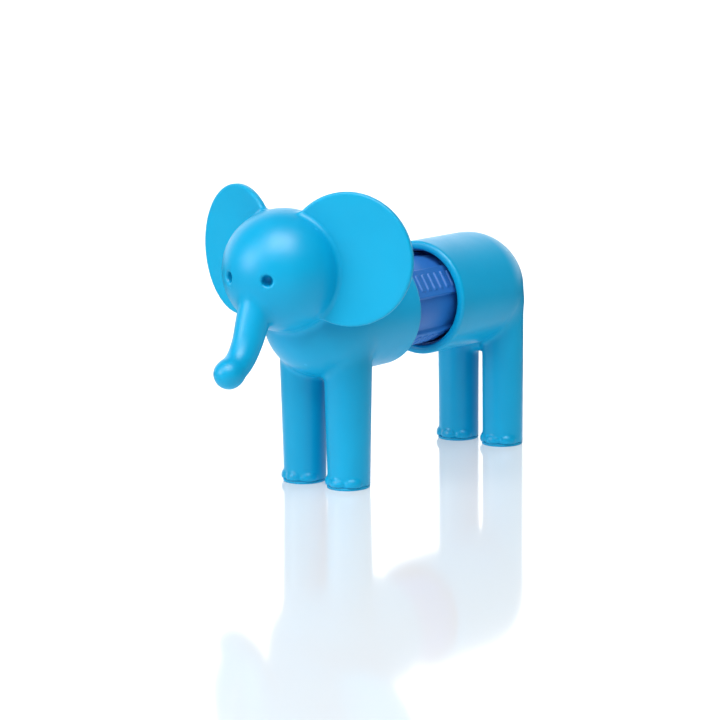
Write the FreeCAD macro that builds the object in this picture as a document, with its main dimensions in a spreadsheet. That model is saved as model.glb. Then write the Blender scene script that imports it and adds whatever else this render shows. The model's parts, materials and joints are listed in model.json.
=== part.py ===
import FreeCAD, Part
import math
import os
import Sketcher

V = FreeCAD.Vector
UP = V(0, 0, 1)
ALONG_X = V(1, 0, 0)
ALONG_Y = V(0, 1, 0)
FRONT = -1
REAR = 1
SIDES = {FRONT: "front", REAR: "rear"}
HANDS = {1: "left", -1: "right"}

# ---------------------------------------------------------------- driving sizes, mm and degrees

SIZES = {
    # the round bar that joins the two halves
    "bar_radius": 13.5,
    "bar_length": 57.0,
    "bar_roll": 31.0,
    "sleeve_wall": 2.6,
    "waist_depth": 1.2,
    "panel_drop": 0.75,
    "panel_width": 8.9,
    "panel_length": 36.0,
    "rib_height": 0.35,
    "rib_width": 1.3,
    "rib_length": 5.2,
    "rib_pitch": 3.0,
    "cap_thickness": 1.4,
    "cap_spigot": 1.0,
    "cap_round": 0.9,
    "carrier_wall": 1.6,
    "magnet_thickness": 4.0,
    "magnet_play": 0.1,
    "magnet_running_gap": 0.08,
    "core_radius": 3.0,
    "glue_gap": 0.05,
    # the socket inside each half
    "socket_gap": 0.35,
    "touch_gap": 0.05,
    "cup_wall": 1.4,
    "cup_floor": 1.5,
    "steel_shelf": 1.85,
    "steel_thickness": 1.5,
    "cover_thickness": 0.8,
    # both halves
    "axis_height": 48.6,
    "body_gap": 20.2,
    "shell_wall": 1.75,
    "lip_gap": 0.9,
    "lip_depth": 2.5,
    "chest_room": 2.45,
    "rump_room": 3.95,
    # legs, toes and soles
    "front_leg_spacing": 16.05,
    "front_leg_shift": -1.1,
    "front_foot_radius": 6.1,
    "front_hip_radius": 7.2,
    "rear_leg_spacing": 16.6,
    "rear_leg_shift": 6.75,
    "rear_foot_radius": 6.15,
    "rear_hip_radius": 6.35,
    "leg_wall": 2.4,
    "leg_hole_roof": 2.6,
    "sole_thickness": 0.8,
    "sole_inset": 0.15,
    "sole_spigot": 3.0,
    "toe_radius": 2.45,
    "toe_centre_height": 1.9,
    "toe_sink": 1.5,
    "toe_spread": 50.0,
    # head, ears and trunk
    "head_forward": 17.2,
    "head_rise": 15.5,
    "head_radius": 17.3,
    "head_wall": 2.4,
    "eye_radius": 1.65,
    "eye_depth": 1.6,
    "eye_turn": 23.3,
    "eye_drop": 2.8,
    "ear_radius": 18.7,
    "ear_thickness": 2.0,
    "ear_round": 0.6,
    "ear_turn": 19.1,
    "ear_side": 19.46,
    "ear_back": 4.43,
    "ear_rise": 3.9,
    "ear_tongue": 1.6,
    "tip_forward": 24.3,
    "tip_below": 26.0,
    "tip_radius": 4.25,
    # the small tail moulded on the rump
    "tail_radius": 1.3,
    "tail_proud": 0.6,
    "tail_tuft_radius": 1.9,
    "tail_start": 14.0,
    "tail_sweep": 50.0,
}

# The trunk's centre line from inside the head to just before its round tip:
# forward of the head's centre, below it, and the radius there.
TRUNK_ROUTE = (
    (8.6, 1.2, 5.9),
    (10.9, 6.6, 5.4),
    (13.9, 13.0, 4.7),
    (16.3, 18.4, 4.25),
    (19.2, 22.6, 4.0),
    (22.9, 25.4, 3.9),
)

doc = FreeCAD.newDocument("stretch_toy_elephant")
sheet = doc.addObject("Spreadsheet::Sheet", "Sizes")
for row, (alias, size) in enumerate(SIZES.items(), 1):
    sheet.set(f"A{row}", alias.replace("_", " "))
    sheet.set(f"B{row}", str(size))
    sheet.setAlias(f"B{row}", alias)
doc.recompute()


def cells(text):
    """Put the sheet's name before each of its aliases in an expression."""
    words = text.replace("(", " ( ").replace(")", " ) ").split()
    return " ".join("Sizes." + word if word in SIZES else word for word in words)


def value(text):
    """The number that an expression of the sheet's aliases comes to."""
    return float(sheet.evalExpression(cells(text)))


def bind(item, **sizes):
    """Tie each named property of an object to an expression of the sheet."""
    for name, text in sizes.items():
        item.setExpression(name, cells(text))
    return item


# Sizes that follow from the driving ones. "Out" is measured along the bar, from its middle.
FACE_OUT = "( bar_length / 2 + touch_gap )"
MOUTH_OUT = "( body_gap / 2 )"
SHELF_OUT = f"( {FACE_OUT} + cover_thickness )"
CUP_START = f"( {MOUTH_OUT} + lip_depth )"
CUP_END = f"( {SHELF_OUT} + steel_thickness + cup_floor )"
CUP_BORE = "( bar_radius + socket_gap )"
CUP_RADIUS = f"( {CUP_BORE} + cup_wall )"
STEEL_RADIUS = f"( {CUP_BORE} - steel_shelf )"
BARREL_RADIUS = f"( {CUP_RADIUS} + shell_wall )"
CHEST_OUT = f"( {CUP_END} + chest_room )"
RUMP_OUT = f"( {CUP_END} + rump_room )"
HEAD_OUT = f"( {CHEST_OUT} + head_forward )"
HEAD_Z = "( axis_height + head_rise )"
DOMES = {FRONT: CHEST_OUT, REAR: RUMP_OUT}

# The origin is on the floor below the middle of the whole toy, so the bar's middle lies this far
# behind it: half the difference between the reach of the trunk's tip and that of the tail.
TRUNK_REACH = f"( {HEAD_OUT} + tip_forward + tip_radius )"
TAIL_REACH = f"( {RUMP_OUT} + {BARREL_RADIUS} + tail_proud )"
BAR_Y = f"( ( {TRUNK_REACH} - {TAIL_REACH} ) / 2 )"


def place(item, x="0", y="0", z="0", turn=None):
    """Set an object's rotation and tie its position to the sheet."""
    item.Placement = FreeCAD.Placement(V(), turn or FreeCAD.Rotation())
    for axis, text in zip("xyz", (x, y, z)):
        item.setExpression(f"Placement.Base.{axis}", cells(text))
    return item


def seat_on_axis(item, side=REAR, roll=0.0):
    """Put a round piece on the bar's axis, with its own +Y pointing out from the bar's middle."""
    turn = FreeCAD.Rotation(UP, 180 if side == FRONT else 0)
    return place(item, y=BAR_Y, z="axis_height", turn=turn.multiply(FreeCAD.Rotation(ALONG_Y, roll)))


# ---------------------------------------------------------------- helpers for round pieces


def origin_plane(body, role):
    """One of the body's own origin planes, such as XY_Plane."""
    return next(item for item in body.Origin.OriginFeatures if item.Role == role)


def sketch_on(body, role, name):
    """A new sketch on one of the body's origin planes."""
    sketch = body.newObject("Sketcher::SketchObject", name)
    sketch.AttachmentSupport = [(origin_plane(body, role), "")]
    sketch.MapMode = "FlatFace"
    return sketch


def pin_point(sketch, edge, x, y):
    """Tie the start of an edge to two expressions, from the sketch's origin."""
    for kind, text, axis in (("DistanceX", x, -2), ("DistanceY", y, -1)):
        if abs(value(text)) < 1e-9:
            sketch.addConstraint(Sketcher.Constraint("PointOnObject", edge, 1, axis))
            continue
        index = sketch.addConstraint(Sketcher.Constraint(kind, edge, 1, value(text)))
        sketch.setExpression(f"Constraints[{index}]", cells(text))


def draw_outline(sketch, corners):
    """A closed outline of straight lines whose corners are pairs of expressions."""
    points = [V(value(x), value(y), 0) for x, y in corners]
    count = len(points)
    for i in range(count):
        sketch.addGeometry(Part.LineSegment(points[i], points[(i + 1) % count]), False)
    for i in range(count):
        joined = Sketcher.Constraint("Coincident", i, 2, (i + 1) % count, 1)
        sketch.addConstraint(joined)
    for i, (x, y) in enumerate(corners):
        pin_point(sketch, i, x, y)


def new_body(label):
    """A PartDesign body whose label is its node's name."""
    body = doc.addObject("PartDesign::Body", label)
    body.Label = label
    return body


def turned_body(label, corners):
    """A round piece: an outline of (along the axis, radius) turned about the body's Y axis."""
    body = new_body(label)
    sketch = sketch_on(body, "YZ_Plane", label + "_outline")
    draw_outline(sketch, corners)
    turning = body.newObject("PartDesign::Revolution", label + "_turned")
    turning.Profile = sketch
    turning.ReferenceAxis = (sketch, ["H_Axis"])
    turning.Angle = 360
    sketch.Visibility = False
    doc.recompute()
    return body


def ring_edges(body, along, radius):
    """The round edges of a turned body at a distance along its axis and a radius."""
    shape = body.Tip.Shape
    names = []
    for number, edge in enumerate(shape.Edges, 1):
        circle = edge.Curve
        if not isinstance(circle, Part.Circle):
            continue
        same_place = abs(circle.Center.y - along) < 1e-4
        if same_place and abs(circle.Radius - radius) < 1e-4:
            names.append(f"Edge{number}")
    return names


def round_off(body, edges, radius):
    """Round the named edges of a body's tip by an expression of the sheet."""
    if not edges:
        raise ValueError(f"{body.Label}: no edge to round")
    base = body.Tip
    rounding = body.newObject("PartDesign::Fillet", body.Label + "_round")
    rounding.Base = (base, edges)
    bind(rounding, Radius=radius)
    doc.recompute()


# ---------------------------------------------------------------- helpers for solid shapes


def cylinder_along_y(name, start, length, radius, side=REAR, z="0"):
    """A cylinder on a Y axis that starts a distance out from the bar's middle."""
    item = bind(doc.addObject("Part::Cylinder", name), Radius=radius, Height=length)
    sign = "-" if side == FRONT else ""
    return place(item, y=f"{sign} ( {start} )", z=z, turn=FreeCAD.Rotation(ALONG_X, -90 * side))


def ball(name, radius, x="0", y="0", z="0"):
    """A whole sphere."""
    return place(bind(doc.addObject("Part::Sphere", name), Radius=radius), x, y, z)


def block_through(name, width, along, height, y="0", roll=0.0):
    """A box centred on the bar's axis, rolled about it."""
    item = bind(doc.addObject("Part::Box", name), Length=width, Width=along, Height=height)
    turn = FreeCAD.Rotation(ALONG_Y, roll)
    corner = V(-value(width) / 2, -value(along) / 2, -value(height) / 2)
    item.Placement = FreeCAD.Placement(turn.multVec(corner) + V(0, value(y), 0), turn)
    return item


def fuse(name, pieces):
    """One solid of several."""
    item = doc.addObject("Part::MultiFuse", name)
    item.Shapes = pieces
    return item


def cut(name, base, tool):
    """One solid less another."""
    item = doc.addObject("Part::Cut", name)
    item.Base = base
    item.Tool = tool
    return item


# ---------------------------------------------------------------- the bar

SLEEVE_END = "( bar_length / 2 - cap_thickness )"
SLEEVE_BORE = "( bar_radius - sleeve_wall )"
PANEL_FLAT = "( bar_radius - panel_drop )"
CARRIER_END = f"( {SLEEVE_END} - cap_spigot )"
CARRIER_RADIUS = f"( {SLEEVE_BORE} - glue_gap )"
CHAMBER_FLOOR = f"( {CARRIER_END} - magnet_thickness - 2 * magnet_play )"
CHAMBER_RADIUS = f"( {CARRIER_RADIUS} - carrier_wall )"
MAGNET_RADIUS = f"( {CHAMBER_RADIUS} - magnet_running_gap )"


def rib_places():
    """Where the grip ribs stand along a panel, from its middle."""
    room = value("( panel_length - rib_width ) / 2 - rib_pitch")
    rows = int(room / value("rib_pitch"))
    return range(-rows, rows + 1)


def make_sleeve():
    """The moulded sleeve: two round collars, and a waist with four flat ribbed panels."""
    collar = f"{SLEEVE_END} - panel_length / 2"
    waist = "bar_radius - waist_depth"
    parts = [cylinder_along_y("waist", f"- {SLEEVE_END}", f"2 * {SLEEVE_END}", waist)]
    for side in SIDES:
        parts.append(cylinder_along_y("collar", "panel_length / 2", collar, "bar_radius", side))
    for roll in (0, 90):
        parts.append(block_through("panels", f"2 * {PANEL_FLAT}", "panel_length + 1",
                                   "panel_width", roll=roll))
        for step in rib_places():
            parts.append(block_through("ribs", f"2 * ( {PANEL_FLAT} + rib_height )", "rib_width",
                                       "rib_length", f"{step} * rib_pitch", roll))
    bore = cylinder_along_y("bore", "- bar_length / 2", "bar_length", SLEEVE_BORE)
    sleeve = cut("bar_sleeve", fuse("sleeve_solid", parts), bore)
    return seat_on_axis(sleeve, roll=-value("bar_roll"))


def make_end_cap(side):
    """The cap that closes one end of the bar, with a short spigot inside the sleeve."""
    end = "bar_length / 2"
    body = turned_body(f"{SIDES[side]}_end_cap", (
        (CARRIER_END, "0"),
        (end, "0"),
        (end, "bar_radius"),
        (SLEEVE_END, "bar_radius"),
        (SLEEVE_END, CARRIER_RADIUS),
        (CARRIER_END, CARRIER_RADIUS),
    ))
    round_off(body, ring_edges(body, value(end), value("bar_radius")), "cap_round")
    return seat_on_axis(body, side)


def make_carrier():
    """The inner tube that holds a magnet chamber at each end and the steel core between them."""
    hole = "core_radius + glue_gap"
    body = turned_body("magnet_carrier", (
        (f"- {CHAMBER_FLOOR}", hole),
        (CHAMBER_FLOOR, hole),
        (CHAMBER_FLOOR, CHAMBER_RADIUS),
        (CARRIER_END, CHAMBER_RADIUS),
        (CARRIER_END, CARRIER_RADIUS),
        (f"- {CARRIER_END}", CARRIER_RADIUS),
        (f"- {CARRIER_END}", CHAMBER_RADIUS),
        (f"- {CHAMBER_FLOOR}", CHAMBER_RADIUS),
    ))
    return seat_on_axis(body)


def make_core():
    """The steel rod between the two magnets."""
    core = cylinder_along_y("steel_core", "0", f"2 * {CHAMBER_FLOOR}", "core_radius")
    turn = FreeCAD.Rotation(ALONG_X, -90)
    return place(core, y=f"{BAR_Y} - {CHAMBER_FLOOR}", z="axis_height", turn=turn)


def make_magnet(side):
    """A disc magnet, loose in its chamber so that it can turn."""
    start = f"{CHAMBER_FLOOR} + magnet_play"
    body = turned_body(f"{SIDES[side]}_magnet", (
        (start, "0"),
        (f"{start} + magnet_thickness", "0"),
        (f"{start} + magnet_thickness", MAGNET_RADIUS),
        (start, MAGNET_RADIUS),
    ))
    return seat_on_axis(body, side)


# ---------------------------------------------------------------- the socket in each half


def make_cup(side):
    """The hard cup behind the barrel's lip: a bore for the bar and a recess for the steel plate."""
    recess = f"{STEEL_RADIUS} + glue_gap"
    recess_floor = f"{SHELF_OUT} + steel_thickness"
    body = turned_body(f"{SIDES[side]}_socket_cup", (
        (CUP_START, CUP_BORE),
        (SHELF_OUT, CUP_BORE),
        (SHELF_OUT, recess),
        (recess_floor, recess),
        (recess_floor, "0"),
        (CUP_END, "0"),
        (CUP_END, CUP_RADIUS),
        (CUP_START, CUP_RADIUS),
    ))
    return seat_on_axis(body, side)


def make_disc(name, side, start, thickness, radius):
    """A plain disc in the bottom of the socket."""
    body = turned_body(f"{SIDES[side]}_{name}", (
        (start, "0"),
        (f"{start} + {thickness}", "0"),
        (f"{start} + {thickness}", radius),
        (start, radius),
    ))
    return seat_on_axis(body, side)


# ---------------------------------------------------------------- legs, toes and soles


def foot_radius(side):
    """The name of a half's foot radius."""
    return f"{SIDES[side]}_foot_radius"


def leg_hole_radius(side):
    """The radius of the hole up a leg."""
    return f"( {foot_radius(side)} - leg_wall )"


def leg_spacing(side):
    """The name of the distance between a half's two legs."""
    return f"{SIDES[side]}_leg_spacing"


def leg_place(side, hand):
    """The X and Y of a leg's axis, from the bar's middle."""
    out = f"( {DOMES[side]} + {SIDES[side]}_leg_shift )"
    return f"{hand} * {leg_spacing(side)} / 2", f"{side} * {out}"


def toe_places(side, hand):
    """The X and Y of a foot's three toes, which all point to the front."""
    x, y = leg_place(side, hand)
    reach = f"( {foot_radius(side)} - toe_sink )"
    for step in (-1, 0, 1):
        angle = math.radians(step * value("toe_spread"))
        yield f"{x} + {reach} * {math.sin(angle):.6f}", f"{y} - {reach} * {math.cos(angle):.6f}"


def leg_solids(side):
    """The two legs of a half, with their toes."""
    hip = f"{SIDES[side]}_hip_radius"
    solids = []
    for hand in HANDS:
        leg = doc.addObject("Part::Cone", "leg")
        bind(leg, Radius1=foot_radius(side), Radius2=hip, Height="axis_height - sole_thickness")
        x, y = leg_place(side, hand)
        solids.append(place(leg, x, y, "sole_thickness"))
        for toe_x, toe_y in toe_places(side, hand):
            solids.append(ball("toe", "toe_radius", toe_x, toe_y, "toe_centre_height"))
    return solids


def below_soles(side):
    """The space under the legs, which keeps the toes from reaching below the sole line."""
    name = f"below_{SIDES[side]}_soles"
    wide = f"( 2 * {leg_spacing(side)} + 4 * toe_radius )"
    long = f"( 2 * {TRUNK_REACH} )"
    item = bind(doc.addObject("Part::Box", name), Length=wide, Width=long, Height="toe_radius")
    return place(item, f"- {wide} / 2", f"- {long} / 2", "sole_thickness - toe_radius")


def leg_holes(side):
    """The holes up the legs, which the soles' spigots plug."""
    holes = []
    for hand in HANDS:
        hole = doc.addObject("Part::Cylinder", "leg_hole")
        bind(hole, Radius=leg_hole_radius(side),
             Height=f"axis_height - {BARREL_RADIUS} - leg_hole_roof")
        x, y = leg_place(side, hand)
        holes.append(place(hole, x, y, "0"))
    return holes


def make_sole(side, hand):
    """A sole as wide as its foot and toes, with a spigot up the leg's hole."""
    x, y = leg_place(side, hand)
    discs = [(x, y, f"{foot_radius(side)} - sole_inset", "sole_thickness")]
    for toe_x, toe_y in toe_places(side, hand):
        discs.append((toe_x, toe_y, "toe_radius - 2 * sole_inset", "sole_thickness"))
    spigot = f"{leg_hole_radius(side)} - glue_gap"
    discs.append((x, y, spigot, "sole_thickness + sole_spigot"))
    solids = []
    for disc_x, disc_y, radius, height in discs:
        disc = bind(doc.addObject("Part::Cylinder", "sole_disc"), Radius=radius, Height=height)
        solids.append(place(disc, disc_x, disc_y))
    return place(fuse(f"{HANDS[hand]}_{SIDES[side]}_sole", solids), y=BAR_Y)


# ---------------------------------------------------------------- barrel halves


def barrel_solids(side):
    """The outside of a barrel half: a tube from the mouth to the centre of its round end."""
    dome = DOMES[side]
    tube = cylinder_along_y("barrel", MOUTH_OUT, f"{dome} - {MOUTH_OUT}", BARREL_RADIUS, side,
                            "axis_height")
    return [tube, ball("barrel_end", BARREL_RADIUS, y=f"{side} * {dome}", z="axis_height")]


def barrel_hollows(side):
    """The mouth, the pocket for the socket cup, and the hollow behind it."""
    mouth = cylinder_along_y("mouth", f"{MOUTH_OUT} - lip_depth", "3 * lip_depth",
                             "bar_radius + lip_gap", side, "axis_height")
    pocket = cylinder_along_y("cup_pocket", CUP_START, f"{CUP_END} - {CUP_START}", CUP_RADIUS,
                              side, "axis_height")
    hollow = ball("end_hollow", CUP_RADIUS, y=f"{side} * {DOMES[side]}", z="axis_height")
    return [mouth, pocket, hollow]


def make_rear_shell():
    """The rear half's moulding: barrel, rump, legs, toes and a small raised tail."""
    solids = barrel_solids(REAR) + leg_solids(REAR) + tail_solids()
    hollows = barrel_hollows(REAR) + leg_holes(REAR) + [below_soles(REAR)]
    shell = cut("rear_shell", fuse("rear_outside", solids), fuse("rear_hollows", hollows))
    return place(shell, y=BAR_Y)


def tail_solids():
    """A short tail that hugs the rump from just above its middle, with a round tuft."""
    top = math.radians(value("tail_start"))
    low = math.radians(value("tail_start - tail_sweep"))
    rump = V(0, value(RUMP_OUT), value("axis_height"))
    curve_radius = f"{BARREL_RADIUS} + tail_proud - tail_radius"
    tail = doc.addObject("Part::Torus", "tail")
    bind(tail, Radius1=curve_radius, Radius2="tail_radius", Angle3="tail_sweep")
    outwards = V(0, math.cos(top), math.sin(top))
    downwards = V(0, math.sin(top), -math.cos(top))
    turn = FreeCAD.Rotation(outwards, downwards, V(-1, 0, 0), "XYZ")
    place(tail, y=RUMP_OUT, z="axis_height", turn=turn)
    end = rump + V(0, math.cos(low), math.sin(low)) * value(curve_radius)
    return [tail, ball("tail_tuft", "tail_tuft_radius", y=f"{end.y:.4f}", z=f"{end.z:.4f}")]


# ---------------------------------------------------------------- head, trunk and ears


def trunk_solid():
    """The trunk: a smooth skin through round sections square to its centre line, and a round tip."""
    head = V(0, -value(HEAD_OUT), value(HEAD_Z))
    points = [head - V(0, forward, below) for forward, below, _ in TRUNK_ROUTE]
    points.append(head - V(0, value("tip_forward"), value("tip_below")))
    rings = []
    for i, (_, _, radius) in enumerate(TRUNK_ROUTE):
        heading = points[i + 1] - points[max(i - 1, 0)]
        rings.append(Part.Wire([Part.Circle(points[i], heading, radius).toShape()]))
    trunk = doc.addObject("Part::Feature", "trunk")
    trunk.Shape = Part.makeLoft(rings, True, False)
    ball_tip = ball("trunk_tip", "tip_radius", y=f"- ( {HEAD_OUT} + tip_forward )",
                    z=f"{HEAD_Z} - tip_below")
    return [trunk, ball_tip]


def ear_disc(hand, name, radius, thickness, rounding=None):
    """A disc where an ear stands: a circle padded both ways, turned back from square."""
    body = new_body(name)
    sketch = sketch_on(body, "XZ_Plane", name + "_circle")
    sketch.addGeometry(Part.Circle(V(), UP, value(radius)), False)
    sketch.addConstraint(Sketcher.Constraint("Coincident", 0, 3, -1, 1))
    index = sketch.addConstraint(Sketcher.Constraint("Radius", 0, value(radius)))
    sketch.setExpression(f"Constraints[{index}]", cells(radius))
    pad = body.newObject("PartDesign::Pad", name + "_pad")
    pad.Profile = sketch
    pad.SideType = "Symmetric"
    bind(pad, Length=thickness)
    doc.recompute()
    if rounding:
        edges = [f"Edge{i}" for i, edge in enumerate(pad.Shape.Edges, 1)
                 if isinstance(edge.Curve, Part.Circle)]
        round_off(body, edges, rounding)
    turn = FreeCAD.Rotation(UP, hand * value("ear_turn"))
    return place(body, f"{hand} * ear_side", f"ear_back - {HEAD_OUT}", f"{HEAD_Z} + ear_rise", turn)


def make_ear(hand):
    """An ear: a thin round-edged disc whose inner part is a tongue in the head's wall."""
    disc = ear_disc(hand, "ear_disc", "ear_radius", "ear_thickness", "ear_round")
    inside = ball("ear_inside", "head_radius - ear_tongue", y=f"- {HEAD_OUT}", z=HEAD_Z)
    return place(cut(f"{HANDS[hand]}_ear", disc, inside), y=BAR_Y)


def ear_slot(hand):
    """The slot in the head's wall that takes an ear's tongue."""
    disc = ear_disc(hand, "slot_disc", "ear_radius + glue_gap", "ear_thickness + 2 * glue_gap")
    inside = ball("slot_inside", "head_radius - ear_tongue - glue_gap", y=f"- {HEAD_OUT}",
                  z=HEAD_Z)
    return cut("ear_slot", disc, inside)


def eye_hole(hand):
    """A round dimple in the face, square to the head's surface."""
    turn = math.radians(value("eye_turn"))
    drop = math.radians(value("eye_drop"))
    level = math.cos(drop)
    way = V(hand * math.sin(turn) * level, -math.cos(turn) * level, -math.sin(drop))
    hole = bind(doc.addObject("Part::Cylinder", "eye"), Radius="eye_radius", Height="eye_depth + 2")
    reach = "( head_radius - eye_depth )"
    return place(hole, f"{reach} * {way.x:.6f}", f"{reach} * {way.y:.6f} - {HEAD_OUT}",
                 f"{reach} * {way.z:.6f} + {HEAD_Z}", FreeCAD.Rotation(UP, way))


def make_front_shell():
    """The front half's moulding: barrel, chest, legs, toes, head and trunk."""
    head = ball("head", "head_radius", y=f"- {HEAD_OUT}", z=HEAD_Z)
    solids = barrel_solids(FRONT) + leg_solids(FRONT) + trunk_solid() + [head]
    hollow_head = ball("head_hollow", "head_radius - head_wall", y=f"- {HEAD_OUT}", z=HEAD_Z)
    hollows = barrel_hollows(FRONT) + leg_holes(FRONT) + [below_soles(FRONT), hollow_head]
    for hand in HANDS:
        hollows += [ear_slot(hand), eye_hole(hand)]
    shell = cut("front_shell", fuse("front_outside", solids), fuse("front_hollows", hollows))
    return place(shell, y=BAR_Y)


# ---------------------------------------------------------------- build, check and write


def make_all():
    """Every piece of the toy, in the order that it goes together."""
    pieces = [make_sleeve(), make_carrier(), make_core()]
    for side in SIDES:
        pieces += [make_magnet(side), make_end_cap(side), make_cup(side)]
        plate = make_disc("steel_plate", side, SHELF_OUT, "steel_thickness", STEEL_RADIUS)
        cover_radius = f"{CUP_BORE} - glue_gap"
        cover = make_disc("plate_cover", side, FACE_OUT, "cover_thickness", cover_radius)
        pieces += [plate, cover]
        for hand in HANDS:
            pieces.append(make_sole(side, hand))
    pieces += [make_front_shell(), make_rear_shell()]
    for hand in HANDS:
        pieces.append(make_ear(hand))
    return pieces


def check(pieces):
    """Stop if any object failed, or a piece isn't one valid solid."""
    for item in doc.Objects:
        if "Invalid" in item.State or "Error" in item.State:
            raise RuntimeError(f"{item.Name} failed: {item.State}")
    for piece in pieces:
        shape = piece.Shape
        if shape.isNull() or not shape.isValid() or len(shape.Solids) != 1:
            raise RuntimeError(f"{piece.Label} isn't one valid solid")


parts = make_all()
doc.recompute()
check(parts)
os.makedirs("parts", exist_ok=True)
for part in parts:
    part.Shape.exportStep(f"parts/{part.Label}.step")
    box = part.Shape.BoundBox
    print(f"{part.Label:18s} {part.Shape.Volume:9.1f} mm3  {box.XLength:6.1f} {box.YLength:6.1f}"
          f" {box.ZLength:6.1f}")
whole = Part.makeCompound([part.Shape for part in parts]).BoundBox
print("whole toy", whole)
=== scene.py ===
# %% [markdown]
# # A toy elephant that pulls apart on a magnetic bar
# The toy is a head half and a rump half, each moulded in soft blue plastic, and a violet bar
# with a magnet in each end that holds them together. The CAD frame already has every piece at its
# real size, with plain unions where a leg or the trunk meets the body. This notebook makes the
# pieces that show: skins whose shapes melt into each other, materials, light and a camera.

# %% Open the frame
import json
import math
import bpy
import numpy as np
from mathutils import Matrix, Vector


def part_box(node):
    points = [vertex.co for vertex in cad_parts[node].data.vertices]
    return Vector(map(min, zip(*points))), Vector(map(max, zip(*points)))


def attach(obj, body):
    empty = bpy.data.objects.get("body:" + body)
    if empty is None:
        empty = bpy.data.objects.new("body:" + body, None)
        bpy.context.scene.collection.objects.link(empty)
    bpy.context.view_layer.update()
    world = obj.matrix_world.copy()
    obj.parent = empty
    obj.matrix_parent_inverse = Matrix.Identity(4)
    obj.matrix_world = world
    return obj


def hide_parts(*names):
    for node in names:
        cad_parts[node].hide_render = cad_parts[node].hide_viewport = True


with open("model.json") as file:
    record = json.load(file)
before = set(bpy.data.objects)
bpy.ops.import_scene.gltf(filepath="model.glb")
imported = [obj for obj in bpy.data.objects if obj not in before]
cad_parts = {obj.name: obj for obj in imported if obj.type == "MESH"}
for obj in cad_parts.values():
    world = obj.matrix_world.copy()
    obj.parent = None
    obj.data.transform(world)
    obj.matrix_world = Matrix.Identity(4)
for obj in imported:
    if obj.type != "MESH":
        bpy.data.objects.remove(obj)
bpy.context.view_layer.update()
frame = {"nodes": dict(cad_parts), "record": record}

import openvdb
from mathutils import Matrix, Vector

MM = 0.001

# %% [markdown]
# The skins below are worked out in millimetres, in the frame's own axes: the elephant faces -Y,
# its left side is +X and the floor is Z = 0. A few places are read from the frame, so that the
# skins stand exactly on the CAD pieces: the bar's middle, the sockets, and the left foot of each
# half, which the record gives as the mounts that the toy stands on.

# %% Read the places that the skins hang on
def box_mm(node):
    """A CAD node's lowest and highest corners, in millimetres."""
    return [np.array(corner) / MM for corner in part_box(node)]


bar_low, bar_high = box_mm("bar_sleeve")
BAR = (bar_low + bar_high) / 2
rear_low, rear_high = box_mm("rear_shell")
front_low, front_high = box_mm("front_shell")
cup_low, cup_high = box_mm("rear_socket_cup")
BARREL_RADIUS = (rear_high[0] - rear_low[0]) / 2
MOUTH = rear_low[1] - BAR[1]
CUP_START, CUP_END = cup_low[1] - BAR[1], cup_high[1] - BAR[1]
CUP_RADIUS = (cup_high[0] - cup_low[0]) / 2
SOLE_TOP = front_low[2]
FRONT, REAR = -1, 1
mounts = {mount["name"]: np.array(mount["pos_m"]) / MM for mount in frame["record"]["mounts"]}
FOOT = {FRONT: mounts["front_feet"], REAR: mounts["rear_feet"]}
print("bar's middle", BAR.round(2), "barrel radius", round(BARREL_RADIUS, 2))
print("mouth", round(MOUTH, 2), "cup", round(CUP_START, 2), round(CUP_END, 2))
print("left feet", {side: place.round(2).tolist() for side, place in FOOT.items()})

# %% [markdown]
# ## Shapes that melt together
# A moulded toy has no sharp inside corners: the trunk flows out of the face, and every leg meets
# the belly in a small fillet. Bevels on a boolean are brittle there. A signed distance is an easier
# tool: a function that says how far a point is from a surface, negative inside. The union of two
# shapes is the smaller distance, and a rounded minimum gives the union with a fillet.

# %% Distances to simple shapes
def ball(p, centre, radius):
    """Distance to a sphere."""
    return np.linalg.norm(p - centre, axis=-1) - radius


def rod(p, start, end, start_radius, end_radius):
    """Distance to a round rod with round ends, its radius changing evenly along it."""
    along = np.subtract(end, start)
    share = np.clip((p - start) @ along / (along @ along), 0, 1)
    middle = np.add(start, share[..., None] * along)
    return np.linalg.norm(p - middle, axis=-1) - (start_radius + (end_radius - start_radius) * share)


print("a point 5 mm from the middle of a 2 mm ball is", ball(np.array([5.0, 0, 0]), 0, 2), "mm from it")


# %% Ways to join and cut
def melt(a, b, fillet):
    """Union of two shapes with a fillet between them."""
    share = np.clip(0.5 + 0.5 * (b - a) / fillet, 0, 1)
    return b + (a - b) * share - fillet * share * (1 - share)


def trim(a, b, rounding):
    """What two shapes share, its new edge rounded."""
    return -melt(-a, -b, rounding)


def carve(a, tool, rounding):
    """A shape less a tool, the new edge rounded."""
    return trim(a, -tool, rounding)


print("a 2 mm fillet adds", -melt(0.0, 0.0, 2.0), "mm where two surfaces cross")


# %% [markdown]
# A mesh comes from a distance in three steps: sample it on a grid, let OpenVDB draw the surface
# where the sign changes, then slide every corner along the slope onto the exact surface. The last
# step is what makes a coarse grid look turned on a lathe.

# %% From a distance to a mesh
MARGIN = 3
FLATTEST, TINY = 0.05, 1e-9


def slope(shape, p, step=0.02):
    """The direction in which a distance grows, and how fast, at each point."""
    return np.stack([shape(p + step * way) - shape(p - step * way) for way in np.eye(3)], -1) / (2 * step)


def settle(shape, p, rounds=4, longest=0.25):
    """Points moved onto the zero of a distance."""
    for _ in range(rounds):
        way = slope(shape, p)
        move = way * (shape(p) / np.maximum((way ** 2).sum(-1), FLATTEST))[:, None]
        length = np.linalg.norm(move, axis=-1, keepdims=True)
        p = p - move * np.minimum(1, longest / np.maximum(length, TINY))
    return p


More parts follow.
